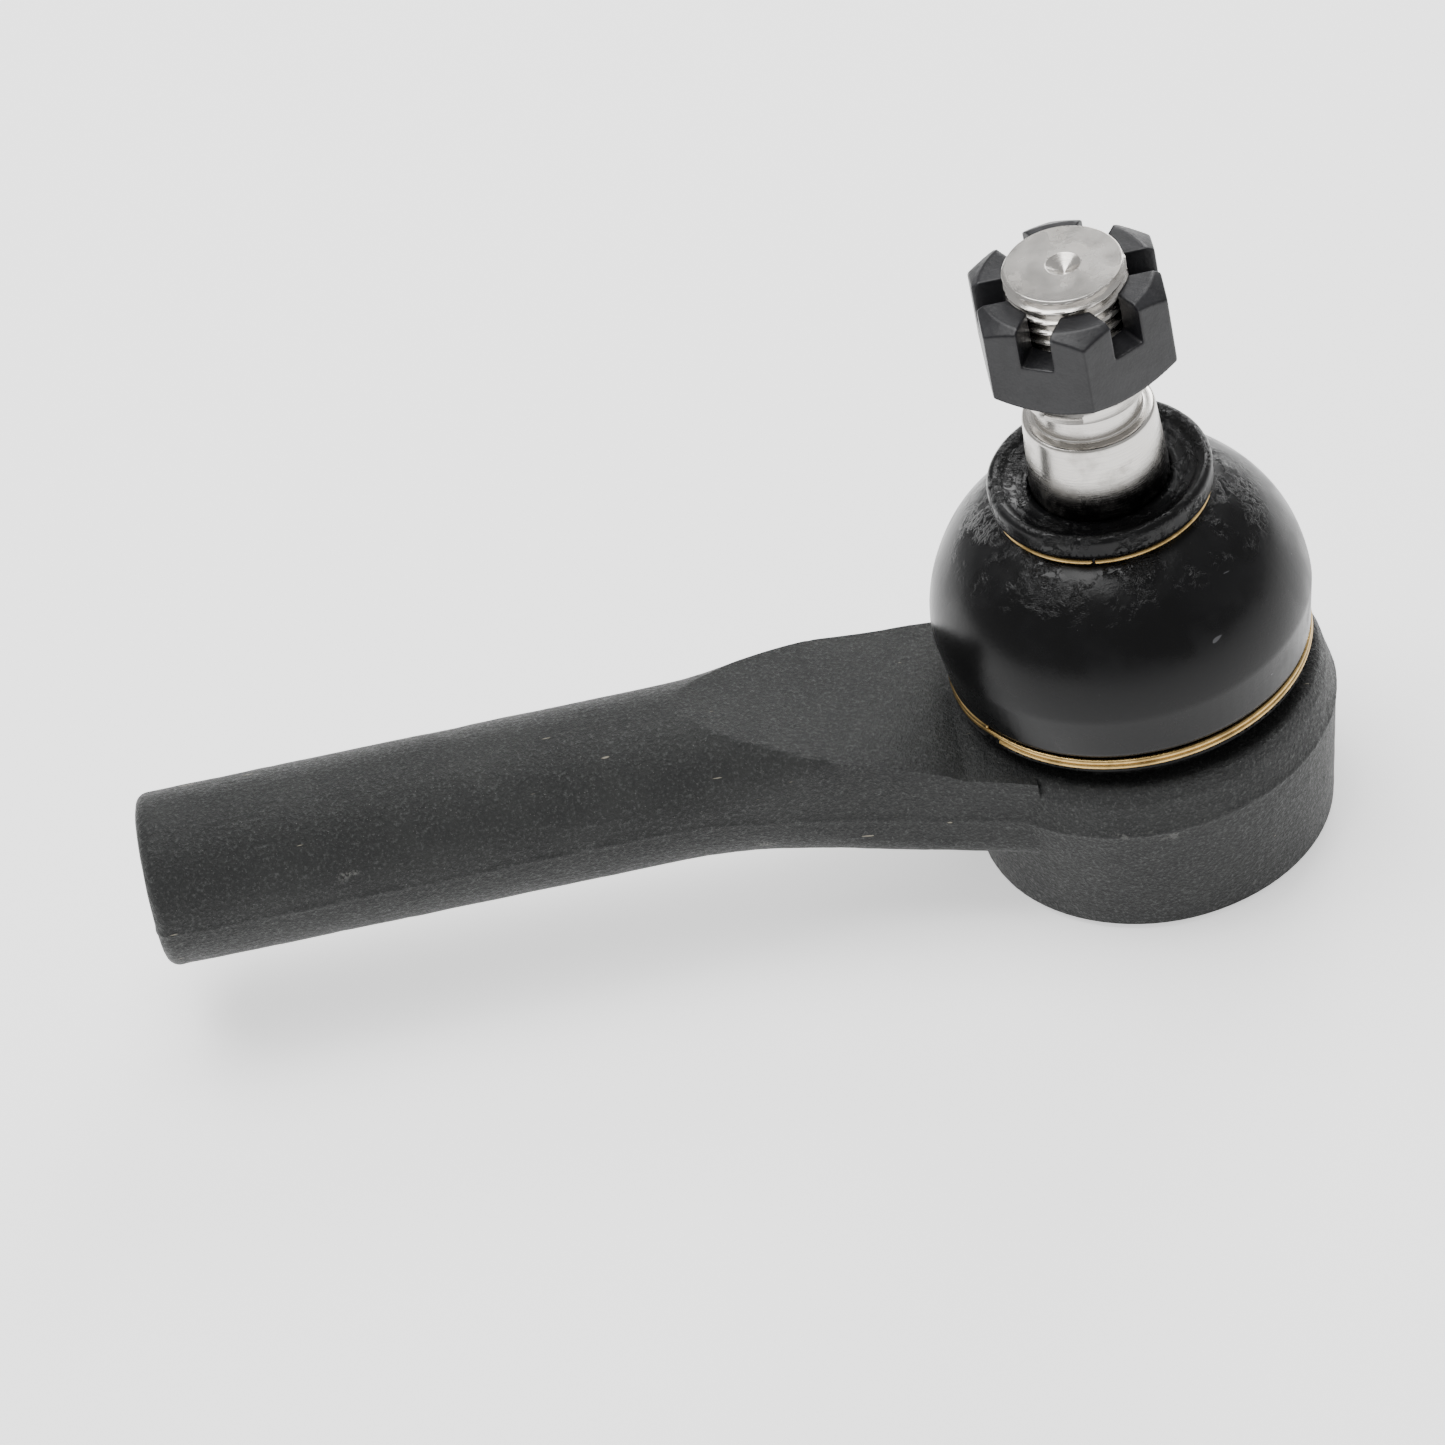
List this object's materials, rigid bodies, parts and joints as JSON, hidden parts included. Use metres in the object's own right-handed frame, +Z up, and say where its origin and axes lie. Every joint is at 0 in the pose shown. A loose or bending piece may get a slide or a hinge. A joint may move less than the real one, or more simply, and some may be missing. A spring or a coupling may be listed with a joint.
{
  "type": "tie rod end",
  "caption": "Steering ball joint with a female-threaded forged shank, sealed rubber boot, tapered stud and castle nut.",
  "frame": {"origin": "on the stud's axis at the flat underside of the barrel", "axes": "+Z up the stud, -X along the shank towards its threaded mouth, Y across; rest has the stud square to the shank"},
  "size_m": [0.1405, 0.0462, 0.0829],
  "materials": {
    "forged_black": "gritty black-coated forging",
    "stud_steel": "turned and ground steel",
    "nut_black": "satin black oxide",
    "boot_rubber": "glossy moulded rubber with a film of grease",
    "ring_wire": "yellow-plated spring wire",
    "seat_plastic": "moulded acetal",
    "spring_steel": "hardened spring steel",
    "cover_steel": "pressed steel, black coated"
  },
  "bodies": {
    "housing": {"forged_housing": "forged_black", "upper_bearing_seat": "seat_plastic", "lower_bearing_seat": "seat_plastic", "preload_spring": "spring_steel", "cover_plate": "cover_steel"},
    "boot": {"dust_boot": "boot_rubber", "lower_boot_ring": "ring_wire"},
    "boot_top": {"upper_boot_ring": "ring_wire"},
    "stud": {"ball_stud": "stud_steel", "castle_nut": "nut_black"}
  },
  "joints": [
    {"name": "swing_direction", "type": "hinge", "parent": "housing", "child": "boot", "pos_m": [0, 0, 0.0197], "axis": [0, 0, 1], "continuous": true},
    {"name": "stud_tilt", "type": "hinge", "parent": "boot", "child": "boot_top", "pos_m": [0, 0, 0.0197], "axis": [0, 1, 0], "range_deg": [-22, 22], "deforming": ["dust_boot"]},
    {"name": "stud_spin", "type": "hinge", "parent": "boot_top", "child": "stud", "pos_m": [0, 0, 0.0197], "axis": [0, 0, 1], "continuous": true}
  ]
}
